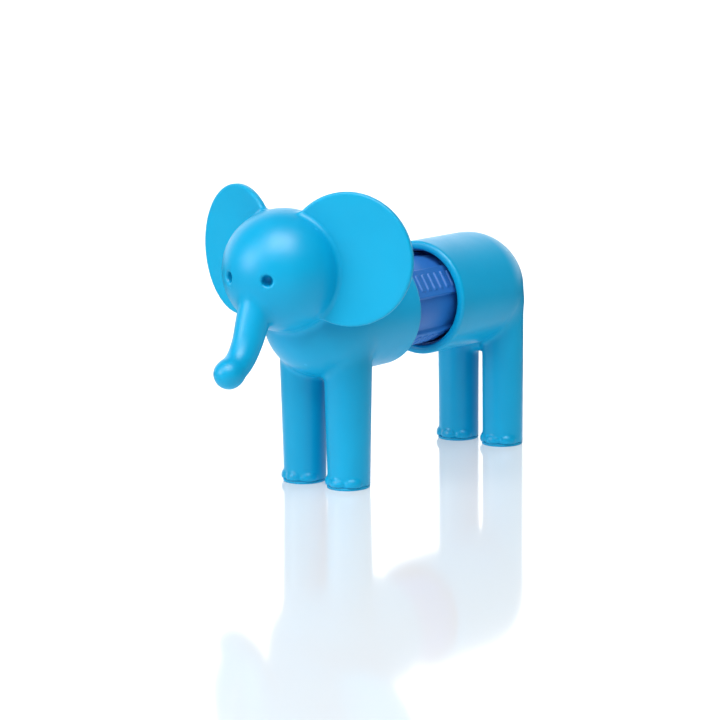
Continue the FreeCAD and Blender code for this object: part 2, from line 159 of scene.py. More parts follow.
def skin(name, shape, low, high, pitch):
    """A mesh object of a distance's zero, inside a box, with corners about pitch apart."""
    low = np.array(low) - MARGIN * pitch
    counts = np.ceil((np.array(high) + MARGIN * pitch - low) / pitch).astype(int)
    xs, ys, zs = [low[i] + pitch * np.arange(counts[i]) for i in range(3)]
    planes = [shape(np.stack(np.meshgrid([x], ys, zs, indexing="ij"), -1)) for x in xs]
    grid = openvdb.FloatGrid((MARGIN + 1) * pitch)
    grid.copyFromArray(np.ascontiguousarray(np.concatenate(planes), dtype=np.float32))
    corners, faces = grid.convertToQuads(0.0)
    corners = settle(shape, corners * pitch + low)
    mesh = bpy.data.meshes.new(name)
    mesh.from_pydata((corners * MM).tolist(), [], faces.tolist())
    mesh.shade_smooth()
    mesh.update()
    piece = bpy.data.objects.new(name, mesh)
    bpy.context.scene.collection.objects.link(piece)
    print(f"{name}: {len(corners)} corners, {len(faces)} faces")
    return piece


# %% [markdown]
# ## The barrel halves
# Each half is a tube with a round end. Its mouth has a soft rounded lip, and behind the lip the
# hard socket cup is snapped in, so the skin has a wider pocket there. A profile spun about the
# bar's axis would make a barrel too, but as a distance it can melt into legs and a head. One
# function makes both halves: its side is FRONT for the head half and REAR for the rump half.

# %% Barrel, mouth and pocket
END_PAST_CUP = {FRONT: 2.45, REAR: 3.95}
LIP_RADIUS, LIP_ROUND = 14.4, 1.15
FIT, OVERLAP, RUN_ON = 0.1, 1, 20


def end_centre(side):
    """The centre of a half's round end."""
    return BAR + np.array([0, side * (CUP_END + END_PAST_CUP[side]), 0])


def barrel(p, side):
    """The outside of a barrel half, running on past its mouth."""
    inner_end = BAR - np.array([0, side * RUN_ON, 0])
    return rod(p, end_centre(side), inner_end, BARREL_RADIUS, BARREL_RADIUS)


def socket(p, side):
    """The mouth's bore and the wider pocket that the cup sits in."""
    out = side * (p[..., 1] - BAR[1])
    radius = np.hypot(p[..., 0], p[..., 2] - BAR[2])
    pocket = np.maximum(radius - CUP_RADIUS - FIT, np.maximum(CUP_START - out, out - CUP_END - FIT))
    mouth = np.maximum(radius - LIP_RADIUS, out - CUP_START - OVERLAP)
    return np.minimum(mouth, pocket)


def open_mouth(body, p, side):
    """A half with its mouth cut square, its bore carved and the lip rounded."""
    out = side * (p[..., 1] - BAR[1])
    return carve(trim(body, MOUTH - out, LIP_ROUND), socket(p, side), LIP_ROUND)


print("round ends centred at y", [round(float(end_centre(side)[1]), 2) for side in (FRONT, REAR)])


# %% [markdown]
# ## Legs and feet
# A leg is a slightly tapered post. Its foot ends flat just above the floor, where a separate soft
# sole is glued on, and three toes bulge from its front. Plain balls look too smooth here, so a toe
# is an egg, wider across than it is high. All toes point the way the elephant looks.
# The two legs of a half melt into each other first, which gives the soft arch between them, and
# then into the belly with a smaller fillet. The rump's legs stand further apart, so a round web
# between them brings their arch down.

# %% Legs and toes
FOOT_RADIUS = {FRONT: 6.1, REAR: 6.15}
HIP_RADIUS = {FRONT: 7.2, REAR: 6.35}
HIP_DROP = {FRONT: 0.0, REAR: 5.0}
TOE_RADII = np.array([2.75, 1.9, 2.2])
TOE_HEIGHT, TOE_SINK, TOE_SPREAD = 1.7, 1.1, 50
RUN_BELOW = 1 / 8
ARCH_FILLET, HIP_FILLET, TOE_CREASE, FOOT_EDGE = 4.0, 2.0, 0.3, 0.06
WEB_RADIUS, WEB_BELOW_BELLY = 3.0, 3.4


def toe(p, side, hand, turn):
    """Distance to a toe, good near its surface: across, out from the leg, and up."""
    apart = p - FOOT[side] * (hand, 1, 1) - (0, 0, TOE_HEIGHT)
    across = apart[..., 0] * math.cos(turn) + apart[..., 1] * math.sin(turn)
    out = apart[..., 0] * math.sin(turn) - apart[..., 1] * math.cos(turn) - FOOT_RADIUS[side] + TOE_SINK
    scaled = np.stack([across, out, apart[..., 2]], -1) / TOE_RADII
    size = np.linalg.norm(scaled, axis=-1)
    return size * (size - 1) / np.maximum(np.linalg.norm(scaled / TOE_RADII, axis=-1), TINY)


def leg(p, side, hand):
    """A leg with its toes, cut flat where the sole begins."""
    foot = FOOT[side] * (hand, 1, 1) + (0, 0, SOLE_TOP)
    hip = FOOT[side] * (hand, 1, 1) + (0, 0, BAR[2] - HIP_DROP[side])
    below = (foot - hip) * RUN_BELOW
    thinner = (HIP_RADIUS[side] - FOOT_RADIUS[side]) * RUN_BELOW
    shape = rod(p, foot + below, hip, FOOT_RADIUS[side] - thinner, HIP_RADIUS[side])
    for turn in np.radians([-TOE_SPREAD, 0, TOE_SPREAD]):
        shape = melt(shape, toe(p, side, hand, turn), TOE_CREASE)
    return trim(shape, SOLE_TOP - p[..., 2], FOOT_EDGE)


def with_legs(body, p, side):
    """A barrel half standing on its two legs."""
    legs = melt(leg(p, side, 1), leg(p, side, -1), ARCH_FILLET)
    if side == REAR:
        middle = FOOT[side] + (0, 0, BAR[2] - BARREL_RADIUS - WEB_BELOW_BELLY + WEB_RADIUS)
        legs = melt(legs, rod(p, middle, middle * (-1, 1, 1), WEB_RADIUS, WEB_RADIUS), HIP_FILLET)
    return melt(body, legs, HIP_FILLET)


print("legs", 2 * FOOT_RADIUS[FRONT], "and", 2 * FOOT_RADIUS[REAR], "mm thick at the foot")


# %% [markdown]
# ## Trunk and tail
# Both are tubes along a curve. Blender's own curves make such tubes, but as separate meshes with
# hard seams. Here a few stations give the curve and its thickness, a Catmull-Rom curve joins them
# smoothly, and the tube is the nearest of many short rods, which can melt into the body.

# %% Tubes along a curve
def smooth_route(stations, steps=6):
    """Points on a Catmull-Rom curve through stations of (x, y, z, radius)."""
    known = np.array(stations, float)
    ends = np.vstack([2 * known[0] - known[1], known, 2 * known[-1] - known[-2]])
    points = []
    for a, b, c, d in zip(ends, ends[1:], ends[2:], ends[3:]):
        for t in np.arange(steps) / steps:
            cubic = (2 * b + (c - a) * t + (2 * a - 5 * b + 4 * c - d) * t ** 2
                     + (3 * b - a - 3 * c + d) * t ** 3)
            points.append(cubic / 2)
    return np.array(points + [known[-1]])


def tube(p, route, reach=5.0):
    """Distance to a tube along a route. Far from its box, the distance to the box is enough."""
    thick = route[:, 3].max()
    low, high = route[:, :3].min(0) - thick, route[:, :3].max(0) + thick
    outside = np.linalg.norm(np.maximum(np.maximum(low - p, p - high), 0), axis=-1)
    near = outside < reach
    here = p[near]
    nearest = np.full(len(here), np.inf)
    for start, end in zip(route, route[1:]):
        nearest = np.minimum(nearest, rod(here, start[:3], end[:3], start[3], end[3]))
    outside = outside + reach / 2
    outside[near] = nearest
    return outside


print("three stations make", len(smooth_route([(0, 0, 0, 1), (1, 0, 0, 1), (1, 1, 0, 1)])), "points")


# %% [markdown]
# ## Head and eyes
# The head is a plain ball that leans out over the chest. The trunk leaves it low on the face,
# hangs down and lifts its tip, which is a slightly thicker ball. The eyes are not painted: they
# are two round dimples, so each is a short rod carved out of the face with a soft edge.

# %% Head, trunk and eyes
HEAD = end_centre(FRONT) + np.array([0, -17.2, 15.5])
HEAD_RADIUS, NECK_CREASE, TRUNK_FILLET = 17.3, 2.4, 1.5
TRUNK_TIP = HEAD + np.array([0, -24.3, -26.0])
TIP_RADIUS, TIP_CREASE = 4.25, 0.9
FORWARD_BELOW_RADIUS = (
    (8.6, 1.2, 5.9),
    (10.9, 6.6, 5.4),
    (13.9, 13.0, 4.7),
    (16.3, 18.4, 4.25),
    (19.2, 22.6, 4.0),
    (22.9, 25.4, 3.9),
)
TRUNK = smooth_route([
    (HEAD[0], HEAD[1] - forward, HEAD[2] - below, radius)
    for forward, below, radius in FORWARD_BELOW_RADIUS
])
EYE_TURN, EYE_DROP = math.radians(23.3), math.radians(2.8)
EYE_RADIUS, EYE_START, EYE_DEPTH, EYE_ROUND = 1.55, 3, 1.6, 0.9


def eye(p, hand):
    """The round dimple of an eye, square to the face."""
    level = math.cos(EYE_DROP)
    way = np.array([hand * math.sin(EYE_TURN) * level, -math.cos(EYE_TURN) * level, -math.sin(EYE_DROP)])
    start = HEAD + way * (HEAD_RADIUS + EYE_START)
    return rod(p, start, HEAD + way * (HEAD_RADIUS - EYE_DEPTH), EYE_RADIUS, EYE_RADIUS)


print("head's middle", HEAD.round(2), "trunk points", len(TRUNK))


# %% [markdown]
# ## Ears
# The ears are thin round discs, moulded on their own and pushed into slots in the head. A flat
# cylinder with a bevel would look stamped, so the disc is a distance with rounded rims, and its
# middle is very slightly dished. Where an ear enters the head, the head's own skin climbs it in a
# small bead: the head melts onto a slightly thinner copy of the ear's root.

# %% Ears
EAR_RADIUS, EAR_HALF, EAR_ROUND, EAR_DISH = 18.7, 1.0, 0.6, 0.5
EAR_PLACE, EAR_TURN = (19.46, 4.43, 3.9), math.radians(19.1)
DISH_PAST_RIM = -0.2
EAR_TONGUE, BEAD, BEAD_REACH, ROOT_UNDER = 1.6, 1.7, 3.5, 0.05


def ear_plate(p, hand, half):
    """A dished disc where an ear stands."""
    centre = HEAD + np.array(EAR_PLACE) * (hand, 1, 1)
    along = (p - centre) @ np.array([hand * math.cos(EAR_TURN), math.sin(EAR_TURN), 0])
    across = (p - centre) @ np.array([hand * math.sin(EAR_TURN), -math.cos(EAR_TURN), 0])
    radius = np.hypot(along, p[..., 2] - centre[2])
    across = across + EAR_DISH * np.clip(1 - (radius / EAR_RADIUS) ** 2, DISH_PAST_RIM, 1)
    over = radius - EAR_RADIUS + EAR_ROUND
    proud = np.abs(across) - half + EAR_ROUND
    outside = np.hypot(np.maximum(over, 0), np.maximum(proud, 0))
    return np.minimum(np.maximum(over, proud), 0) + outside - EAR_ROUND


def ear(p, hand):
    """An ear, its inner edge a tongue just inside the head's skin."""
    return np.maximum(ear_plate(p, hand, EAR_HALF), -ball(p, HEAD, HEAD_RADIUS - EAR_TONGUE))


def ear_root(p, hand):
    """The core of an ear near the head, which the head's skin melts onto."""
    return np.maximum(ear_plate(p, hand, EAR_HALF - ROOT_UNDER), ball(p, HEAD, HEAD_RADIUS + BEAD_REACH))


print("ears", 2 * EAR_RADIUS, "mm across and", 2 * EAR_HALF, "mm thick")


# %% [markdown]
# ## One skin for the head half
# The real half is one moulding, so it becomes one mesh. The order matters: chest and head melt
# first, then the trunk, then the legs, and the mouth is cut last, so that no fillet creeps into
# it.

# %% The head half's skin
def head_half(p):
    """Barrel, chest, legs, head, trunk and ear beads in one skin."""
    body = melt(barrel(p, FRONT), ball(p, HEAD, HEAD_RADIUS), NECK_CREASE)
    trunk = melt(tube(p, TRUNK), ball(p, TRUNK_TIP, TIP_RADIUS), TIP_CREASE)
    body = with_legs(melt(body, trunk, TRUNK_FILLET), p, FRONT)
    for hand in (1, -1):
        body = melt(body, ear_root(p, hand), BEAD)
        body = carve(body, eye(p, hand), EYE_ROUND)
    return open_mouth(body, p, FRONT)


PITCH = 0.45
front_skin = skin("head_half_skin", head_half, front_low - 1, front_high + 1, PITCH)
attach(front_skin, "front_half")
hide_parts("front_shell")

# %% The two ears
ears = []
for hand, word in ((1, "left"), (-1, "right")):
    low, high = box_mm(word + "_ear")
    piece = skin(word + "_ear_disc", lambda p: ear(p, hand), low, high, PITCH)
    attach(piece, "front_half")
    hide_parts(word + "_ear")
    ears.append(piece)

# %% [markdown]
# ## The rump half
# The rump is a plain round end. A short tail lies against it, raised just enough for a small
# finger to feel, and ends in a tuft. A tail painted on with a bump would vanish from the side, so
# it is a tube on an arc round the rump, melted in with a small fillet.

# %% The rump half's skin
TAIL_PROUD, TAIL_RADIUS, TUFT_RADIUS, TAIL_FILLET = 0.6, 1.3, 1.9, 0.8
TAIL_TOP, TAIL_LOW, TAIL_STATIONS = math.radians(14), math.radians(-36), 14


def tail_point(turn, radius):
    """A station on the arc that the tail follows round the rump."""
    reach = BARREL_RADIUS + TAIL_PROUD - TAIL_RADIUS
    centre = end_centre(REAR)
    return (0, centre[1] + reach * math.cos(turn), centre[2] + reach * math.sin(turn), radius)


TAIL = np.array([tail_point(turn, TAIL_RADIUS) for turn in np.linspace(TAIL_TOP, TAIL_LOW, TAIL_STATIONS)])


def rump_half(p):
    """Barrel, rump, legs and tail in one skin."""
    tuft = ball(p, TAIL[-1][:3], TUFT_RADIUS)
    body = melt(with_legs(barrel(p, REAR), p, REAR), melt(tube(p, TAIL), tuft, TAIL_FILLET), TAIL_FILLET)
    return open_mouth(body, p, REAR)


rear_skin = skin("rump_half_skin", rump_half, rear_low - 1, rear_high + 1, PITCH)
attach(rear_skin, "rear_half")
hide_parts("rear_shell")

# %% [markdown]
# ## Soles
# Each foot stands on a thin soft sole: a round pad, drawn out a little towards the toes. It could
# be a cylinder with a bevel, but a sole of its own shape hides the joint better. It is hardly
# narrower than the leg, and its rounded rim draws the fine line round the bottom of every foot.

# %% Soles
SOLE_INSET, SOLE_FORWARD, SOLE_CREASE = 0.06, 0.55, 0.2
SOLE_SEAM, SOLE_RIM = 0.06, 0.35


def sole(p, side, hand):
    """A flat round pad under a foot, drawn out towards the toes."""
    x, y, _ = FOOT[side] * (hand, 1, 1)
    under_leg = np.hypot(p[..., 0] - x, p[..., 1] - y)
    under_toes = np.hypot(p[..., 0] - x, p[..., 1] - y + SOLE_FORWARD)
    flat = melt(under_leg, under_toes, SOLE_CREASE) - FOOT_RADIUS[side] + SOLE_INSET
    return trim(trim(flat, p[..., 2] - SOLE_TOP, SOLE_SEAM), -p[..., 2], SOLE_RIM)


soles = []
for side, end in ((FRONT, "front"), (REAR, "rear")):
    for hand, word in ((1, "left"), (-1, "right")):
        node = f"{word}_{end}_sole"
        low, high = box_mm(node)
        high[2] = SOLE_TOP
        piece = skin(node + "_pad", lambda p: sole(p, side, hand), low, high, PITCH / 2)
        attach(piece, end + "_half")
        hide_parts(node)
        soles.append(piece)

# %% [markdown]
# ## The bar's sleeve
# The sleeve is round at both ends. On its waist, four flat panels stand a little above the round
# surface between them, each with a row of raised ribs to grip. Ribs in a bump map would lie flat
# against the light, so they are real blocks, one rib repeated along the bar by folding the place
# onto the nearest one. Every edge is slightly rounded, so that it catches the light.

# %% The sleeve's skin
BAR_RADIUS = (bar_high[0] - bar_low[0]) / 2
SLEEVE_END = (bar_high[1] - bar_low[1]) / 2
BORE_RADIUS, WAIST_DEPTH, PANEL_DROP, PANEL_WIDTH = 10.9, 1.2, 0.75, 8.9
PANEL_HALF_LENGTH, BAR_ROLL = 18.0, 31
RIB_HEIGHT, RIB_WIDTH, RIB_LENGTH, RIB_PITCH, RIB_COUNT = 0.35, 1.3, 5.2, 3.0, 9
SLEEVE_ROUND, RIB_ROUND = 0.3, 0.2


def upright_block(out, side, along, reach, width, length, rounding):
    """Distance to a block that stands on the bar's axis, reaching outwards."""
    block = trim(out - reach, np.abs(side) - width / 2, rounding)
    return trim(block, np.abs(along) - length / 2, rounding)


def sleeve(p):
    """Collars, waist, panels and ribs, with a bore through them."""
    along = p[..., 1] - BAR[1]
    radius = np.hypot(p[..., 0], p[..., 2] - BAR[2])
    waist = radius - BAR_RADIUS + WAIST_DEPTH
    shape = np.minimum(waist, trim(radius - BAR_RADIUS, PANEL_HALF_LENGTH - np.abs(along), SLEEVE_ROUND))
    nearest_rib = along - RIB_PITCH * np.clip(np.round(along / RIB_PITCH), -(RIB_COUNT // 2), RIB_COUNT // 2)
    for turn in np.radians(BAR_ROLL + 90 * np.arange(4)):
        out = p[..., 0] * math.cos(turn) + (p[..., 2] - BAR[2]) * math.sin(turn)
        side = (p[..., 2] - BAR[2]) * math.cos(turn) - p[..., 0] * math.sin(turn)
        flat = BAR_RADIUS - PANEL_DROP
        panel = upright_block(out, side, along, flat, PANEL_WIDTH, 2 * PANEL_HALF_LENGTH + 1, SLEEVE_ROUND)
        rib = upright_block(out, side, nearest_rib, flat + RIB_HEIGHT, RIB_LENGTH, RIB_WIDTH, RIB_ROUND)
        shape = np.minimum(shape, np.maximum(np.minimum(panel, rib), -out))
    return np.maximum(np.maximum(shape, BORE_RADIUS - radius), np.abs(along) - SLEEVE_END)


FINE_PITCH = 0.28
sleeve_skin = skin("bar_sleeve_skin", sleeve, bar_low, bar_high, FINE_PITCH)
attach(sleeve_skin, "bar")
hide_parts("bar_sleeve")

# %% [markdown]
# ## Materials
# Every plastic piece comes out of a mould, so they share their small-scale looks: the mould's
# satin grain, slow changes of tint where the plastic flowed, smudges from hands, and edges rubbed
# a little paler. Each of these is a node group, built once and placed in each material with its
# own values. A helper adds a node and sets or links its sockets in one go.

# %% Helpers for shader nodes
def place(tree, kind, sockets=None, **settings):
    """Add a node: settings are its own properties, sockets are values or links for its inputs."""
    made = tree.nodes.new(kind)
    for name, value in settings.items():
        setattr(made, name, value)
    for name, value in (sockets or {}).items():
        if isinstance(value, bpy.types.NodeSocket):
            tree.links.new(value, made.inputs[name])
        else:
            made.inputs[name].default_value = value
    return made


def sums(tree, operation, *values):
    """The result of a Math node."""
    return place(tree, "ShaderNodeMath", dict(enumerate(values)), operation=operation).outputs[0]


def spread(tree, value, low, high, new_low=0.0, new_high=1.0):
    """A value's range stretched onto another, smoothly and within its ends."""
    sockets = {"Value": value, "From Min": low, "From Max": high, "To Min": new_low, "To Max": new_high}
    return place(tree, "ShaderNodeMapRange", sockets, interpolation_type="SMOOTHSTEP").outputs["Result"]


def noise(tree, at, scale, detail=2.0, roughness=0.5):
    """Noise at a place, scale cells to the metre."""
    sockets = {"Vector": at, "Scale": scale, "Detail": detail, "Roughness": roughness}
    return place(tree, "ShaderNodeTexNoise", sockets).outputs["Fac"]


print("helpers:", ", ".join(helper.__name__ for helper in (place, sums, spread, noise)))


# %% Helpers for node groups
def start_group(name, inputs, outputs):
    """A node group with number sockets: its tree, its input node and its output node."""
    tree = bpy.data.node_groups.new(name, "ShaderNodeTree")
    for label, value in inputs.items():
        socket = tree.interface.new_socket(label, in_out="INPUT", socket_type="NodeSocketFloat")
        socket.default_value = value
    for label in outputs:
        tree.interface.new_socket(label, in_out="OUTPUT", socket_type="NodeSocketFloat")
    return tree, tree.nodes.new("NodeGroupInput"), tree.nodes.new("NodeGroupOutput")


def finish_group(tree, outgoing, values):
    """Link a group's results to its output node."""
    for label, value in values.items():
        tree.links.new(value, outgoing.inputs[label])
    print("node group", tree.name, "puts out", ", ".join(values))
    return tree


# %% [markdown]
# The mould's grain is a fine, even noise about a third of a millimetre across. It is only bump:
# too fine to see as colour, but it breaks up the highlights into the soft sheen of satin plastic.
# The tint patches are centimetres wide and very faint.

# %% The mould's grain
def build_grain():
    """Grain is a fine height, Tint is slow patches, both from 0 to 1."""
    values = {"Grains per mm": 3.0, "Patch mm": 14.0}
    tree, given, result = start_group("mould_grain", values, ["Grain", "Tint"])
    at = place(tree, "ShaderNodeTexCoord").outputs["Object"]
    fine = noise(tree, at, sums(tree, "MULTIPLY", given.outputs["Grains per mm"], 1 / MM), 3.0, 0.6)
    slow = noise(tree, at, sums(tree, "DIVIDE", 1 / MM, given.outputs["Patch mm"]), 2.0, 0.4)
    return finish_group(tree, result, {"Grain": fine, "Tint": spread(tree, slow, 0.3, 0.7)})


GRAIN = build_grain()

# %% [markdown]
# Toddlers carry the toy by its ears and bar, so its high edges are rubbed first. Pointiness tells
# how sharply the mesh bends outwards at a point. Broken up by noise, it gives a worn edge that no
# hand had to paint.

# %% Rubbed edges
def build_edges():
    """Edge is 1 on a rubbed edge and 0 elsewhere. Bend says how sharp an edge has to be."""
    values = {"Bend": 0.56, "Softness": 0.05, "Breaks per mm": 0.35}
    tree, given, result = start_group("rubbed_edges", values, ["Edge"])
    at = place(tree, "ShaderNodeTexCoord").outputs["Object"]
    bend = place(tree, "ShaderNodeNewGeometry").outputs["Pointiness"]
    breaks = noise(tree, at, sums(tree, "MULTIPLY", given.outputs["Breaks per mm"], 1 / MM), 4.0, 0.65)
    uneven = sums(tree, "ADD", bend, sums(tree, "MULTIPLY", sums(tree, "SUBTRACT", breaks, 0.5), 0.05))
    high = sums(tree, "ADD", given.outputs["Bend"], given.outputs["Softness"])
    return finish_group(tree, result, {"Edge": spread(tree, uneven, given.outputs["Bend"], high)})


EDGES = build_edges()

# %% [markdown]
# Hands leave two things: smudges, which are wide and soft and change only the gloss, and a few
# hairline scratches. A scratch is where a noise stretched along one way crosses its middle value.

# %% Smudges and hairlines
LINE_STRETCH = 0.03


def hairlines(tree, at, turn, scale, width):
    """Thin wavy lines along one direction: 1 on a line, 0 off it."""
    sockets = {"Vector": at, "Rotation": turn, "Scale": (LINE_STRETCH, 1.0, 1.0)}
    laid = place(tree, "ShaderNodeMapping", sockets).outputs[0]
    off = sums(tree, "ABSOLUTE", sums(tree, "SUBTRACT", noise(tree, laid, scale, 1.0, 0.4), 0.5))
    return sums(tree, "SUBTRACT", 1.0, spread(tree, off, 0.0, width))


def build_handling():
    """Smudge and Scratch masks, from 0 to 1."""
    values = {"Smudge mm": 6.0, "Scratch width": 0.004}
    tree, given, result = start_group("handling", values, ["Smudge", "Scratch"])
    at = place(tree, "ShaderNodeTexCoord").outputs["Object"]
    width = given.outputs["Scratch width"]
    wide = noise(tree, at, sums(tree, "DIVIDE", 1 / MM, given.outputs["Smudge mm"]), 5.0, 0.7)
    first = hairlines(tree, at, (0.4, 0.9, 0.2), 260.0, width)
    second = hairlines(tree, at, (1.9, 0.3, 2.2), 190.0, width)
    lines = sums(tree, "MAXIMUM", first, second)
    rare = spread(tree, noise(tree, at, 90.0, 2.0), 0.52, 0.62)
    return finish_group(tree, result, {
        "Smudge": spread(tree, wide, 0.42, 0.68),
        "Scratch": sums(tree, "MULTIPLY", lines, rare),
    })


HANDLING = build_handling()

# %% [markdown]
# ## Plastics
# All the plastics are one recipe with different values: a base colour that drifts towards a
# second tint, paler rubbed edges, roughness lifted by smudges and lowered on polished edges, and
# the grain as bump. The colours differ because the real pieces are different resins: soft blue for
# the animal, a harder plastic for the sockets, violet for the bar, natural nylon for the carrier.
# The sockets' deep blue, darker than the body's, is painted shade for the shadow inside the mouth,
# and the ears' blue, a touch paler than the body's, is painted light for the light the thin ears catch.

# %% Groups, blends and a bare material
def grouped(tree, group, **values):
    """A node group placed in a material, its inputs set by name with _ for a space."""
    made = place(tree, "ShaderNodeGroup", node_tree=group)
    for name, value in values.items():
        made.inputs[name.replace("_", " ")].default_value = value
    return made.outputs


def blended(tree, share, first, second):
    """A colour between two, by a share."""
    mix = place(tree, "ShaderNodeMix", data_type="RGBA", clamp_factor=True)
    for socket, value in ((mix.inputs[0], share), (mix.inputs[6], first), (mix.inputs[7], second)):
        if isinstance(value, bpy.types.NodeSocket):
            tree.links.new(value, socket)
        else:
            socket.default_value = value if isinstance(value, float) else (*value, 1.0)
    return mix.outputs[2]


def new_material(name):
    """A material with only a Principled shader: the material, its tree and the shader."""
    made = bpy.data.materials.new(name)
    made.use_nodes = True
    return made, made.node_tree, made.node_tree.nodes["Principled BSDF"]


def set_constants(shader, constants):
    """Values straight on a shader's own sockets, named with _ for a space."""
    for socket, value in constants.items():
        shader.inputs[socket.replace("_", " ")].default_value = value


print("groups at hand:", ", ".join(group.name for group in (GRAIN, EDGES, HANDLING)))


# %% One recipe for moulded plastic
SMUDGE_ROUGH, SCRATCH_ROUGH, EDGE_POLISH, SCRATCH_HEIGHT = 0.05, 0.12, -0.08, -0.6


def moulded(name, colour, drift, rubbed, rough, grain=0.012, rubbed_share=0.5, bend=0.56, **constants):
    """Satin plastic. Grain is the bump's depth in millimetres."""
    material, tree, shader = new_material(name)
    mould = grouped(tree, GRAIN)
    edge = grouped(tree, EDGES, Bend=bend)["Edge"]
    hands = grouped(tree, HANDLING)
    worn = sums(tree, "MULTIPLY", edge, rubbed_share)
    tinted = blended(tree, mould["Tint"], colour, drift)
    tree.links.new(blended(tree, worn, tinted, rubbed), shader.inputs["Base Color"])
    smudged = sums(tree, "MULTIPLY_ADD", hands["Smudge"], SMUDGE_ROUGH, rough)
    scratched = sums(tree, "MULTIPLY_ADD", hands["Scratch"], SCRATCH_ROUGH, smudged)
    polished = sums(tree, "MULTIPLY_ADD", worn, EDGE_POLISH, scratched)
    tree.links.new(polished, shader.inputs["Roughness"])
    height = sums(tree, "MULTIPLY_ADD", hands["Scratch"], SCRATCH_HEIGHT, mould["Grain"])
    bump = place(tree, "ShaderNodeBump", {"Height": height, "Strength": 1.0, "Distance": grain * MM})
    tree.links.new(bump.outputs["Normal"], shader.inputs["Normal"])
    set_constants(shader, constants)
    print("material", name)
    return material


# %% The toy's plastics: each has its colour, the colour it drifts to, and the colour of worn edges
SOFT = {"Specular_IOR_Level": 0.2}
BODY = (0.0, 0.32, 0.58), (0.0, 0.335, 0.60), (0.03, 0.45, 0.75)
# The ears' blue is a touch paler than the body's: painted light for the light that the thin ears catch.
EAR_PAINTED_LIGHT = (0.0, 0.335, 0.59), (0.0, 0.35, 0.61), (0.04, 0.48, 0.78)
SOLE = (0.0, 0.31, 0.56), (0.0, 0.29, 0.53), (0.05, 0.43, 0.74)
# The sockets' deep blue is darker than the body's: painted shade for the shadow inside the mouth.
SOCKET_PAINTED_SHADE = (0.0, 0.14, 0.40), (0.0, 0.125, 0.37), (0.02, 0.24, 0.52)
VIOLET = (0.012, 0.15, 0.50), (0.018, 0.14, 0.48), (0.04, 0.22, 0.60)
NATURAL = (0.52, 0.50, 0.46), (0.56, 0.54, 0.50), (0.68, 0.66, 0.62)
body_blue = moulded("soft_blue_plastic", *BODY, 0.33, **SOFT)
ear_painted_light_blue = moulded("thin_blue_plastic_painted_light", *EAR_PAINTED_LIGHT, 0.36, **SOFT)
sole_blue = moulded("sole_rubber", *SOLE, 0.45, grain=0.02, **SOFT)
socket_painted_shade_blue = moulded("socket_plastic_painted_shade", *SOCKET_PAINTED_SHADE, 0.45)
bar_violet = moulded("violet_plastic", *VIOLET, 0.42, rubbed_share=0.3, Specular_IOR_Level=0.42)
nylon = moulded("natural_nylon", *NATURAL, 0.5)

# %% [markdown]
# ## Metals
# The steel discs and the rod between the magnets are turned on a lathe, which leaves fine rings
# round the bar's axis. A wave texture has rings too, but only about its own middle. So the rings
# are a sine of the distance from the bar's axis, and are right on faces and rims alike. The
# magnets are nickel plated: smoother, with fainter and wider rings.

# %% Turning rings
LEAN_ALONG, RING_WAVER = 0.35, 5.0


def build_rings():
    """Rings round the bar's axis, as a height from 0 to 1, broken up a little."""
    tree, given, result = start_group("turning_rings", {"Rings per mm": 4.0}, ["Ring"])
    at = place(tree, "ShaderNodeTexCoord").outputs["Object"]
    apart = place(tree, "ShaderNodeSeparateXYZ", {"Vector": at}).outputs
    up = sums(tree, "SUBTRACT", apart["Z"], float(BAR[2] * MM))
    squares = sums(tree, "ADD", sums(tree, "POWER", apart["X"], 2.0), sums(tree, "POWER", up, 2.0))
    reach = sums(tree, "ADD", sums(tree, "SQRT", squares), sums(tree, "MULTIPLY", apart["Y"], LEAN_ALONG))
    turns = sums(tree, "MULTIPLY", given.outputs["Rings per mm"], 2 * math.pi / MM)
    phase = sums(tree, "MULTIPLY", reach, turns)
    uneven = sums(tree, "MULTIPLY_ADD", noise(tree, at, 300.0), RING_WAVER, phase)
    wave = sums(tree, "MULTIPLY_ADD", sums(tree, "SINE", uneven), 0.5, 0.5)
    return finish_group(tree, result, {"Ring": wave})


RINGS = build_rings()


# %% Turned steel and nickel
STAIN_SHARE, METAL_SMUDGE_ROUGH, GRAIN_HEIGHT = 0.6, 0.12, 0.5


def plated(name, colour, tarnish, rough, rings, depth):
    """Bare or plated metal with turning rings."""
    material, tree, shader = new_material(name)
    ring = grouped(tree, RINGS, Rings_per_mm=rings)["Ring"]
    mould = grouped(tree, GRAIN, Grains_per_mm=5.0, Patch_mm=4.0)
    hands = grouped(tree, HANDLING)
    edge = grouped(tree, EDGES)["Edge"]
    stained = sums(tree, "MULTIPLY", mould["Tint"], STAIN_SHARE)
    tree.links.new(blended(tree, stained, colour, tarnish), shader.inputs["Base Color"])
    dulled = sums(tree, "MULTIPLY_ADD", hands["Smudge"], METAL_SMUDGE_ROUGH, rough)
    tree.links.new(sums(tree, "MULTIPLY_ADD", edge, EDGE_POLISH, dulled), shader.inputs["Roughness"])
    height = sums(tree, "MULTIPLY_ADD", mould["Grain"], GRAIN_HEIGHT, ring)
    bump = place(tree, "ShaderNodeBump", {"Height": height, "Strength": 1.0, "Distance": depth * MM})
    tree.links.new(bump.outputs["Normal"], shader.inputs["Normal"])
    set_constants(shader, {"Metallic": 1.0})
    print("material", name)
    return material


steel = plated("turned_steel", (0.56, 0.55, 0.53), (0.42, 0.40, 0.37), 0.32, 4.0, 0.004)
nickel = plated("nickel_plate", (0.66, 0.61, 0.54), (0.55, 0.50, 0.43), 0.2, 1.5, 0.0015)

# %% [markdown]
# ## Every piece gets its finish
# Each skin gets one material. The CAD pieces that stay, such as the sockets, the end caps and the
# magnets, keep their shape and get the same materials on their own slots. A table from material to
# pieces is easier to check than a line for each piece.

# %% Dress the pieces
def dress(piece, material):
    """Put one material on a piece."""
    piece.data.materials.clear()
    piece.data.materials.append(material)


